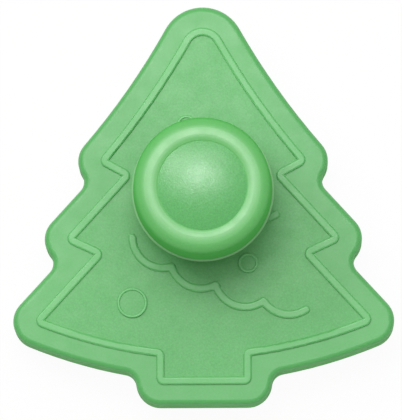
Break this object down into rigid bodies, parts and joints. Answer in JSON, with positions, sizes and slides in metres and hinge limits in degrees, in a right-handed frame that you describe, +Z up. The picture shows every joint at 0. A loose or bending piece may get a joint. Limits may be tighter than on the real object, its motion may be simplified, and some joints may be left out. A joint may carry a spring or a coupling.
{
  "type": "plunger cookie cutter",
  "caption": "Tree-shaped cookie cutter with a sprung plunger: the wall cuts the dough, the stamp plate embosses a tree figure and pushes the cut piece out.",
  "frame": {"origin": "middle of the outline in plan, on the plane of the cutting edge", "axes": "+Y along the tree towards its crown, +X to the right seen from above, +Z up towards the knob"},
  "size_m": [0.0664, 0.0696, 0.0461],
  "materials": {
    "green_plastic": "satin moulded",
    "cap_plastic": "fine matte texture",
    "spring_steel": "drawn wire",
    "screw_steel": "zinc plated"
  },
  "bodies": {
    "cutter": {"cutter_body": "green_plastic", "return_spring": "spring_steel"},
    "plunger": {"stamp_plate": "green_plastic", "plunger_stem": "green_plastic", "press_knob": "green_plastic", "knob_cap": "cap_plastic", "knob_screw": "screw_steel", "screw_washer": "screw_steel"}
  },
  "joints": [
    {"name": "plunger_slide", "type": "slide", "parent": "cutter", "child": "plunger", "axis": [0, 0, -1], "range_m": [0, 0.01], "stiffness_N_per_m": 415, "springref_m": -0.0073, "deforming": ["return_spring"]}
  ]
}
